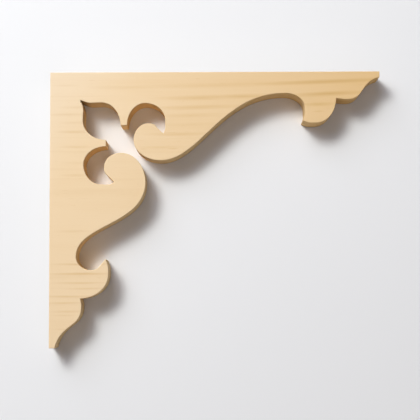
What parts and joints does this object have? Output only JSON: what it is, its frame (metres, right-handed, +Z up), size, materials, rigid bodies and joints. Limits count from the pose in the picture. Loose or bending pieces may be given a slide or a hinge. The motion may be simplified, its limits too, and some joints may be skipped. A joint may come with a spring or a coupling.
{
  "type": "corner bracket",
  "caption": "Fretted softwood corner bracket with a leaf opening, facing scrolls and knobbed arms, for the corner between a post and a beam.",
  "frame": {"origin": "middle of the straight edge face that meets the post", "axes": "+X from the post along the long arm, +Y from the front face to the back face, +Z up towards the beam"},
  "size_m": [0.3048, 0.0286, 0.254],
  "materials": {
    "wood": "bare sanded softwood, matte"
  },
  "bodies": {
    "root": {"bracket": "wood"}
  },
  "joints": []
}
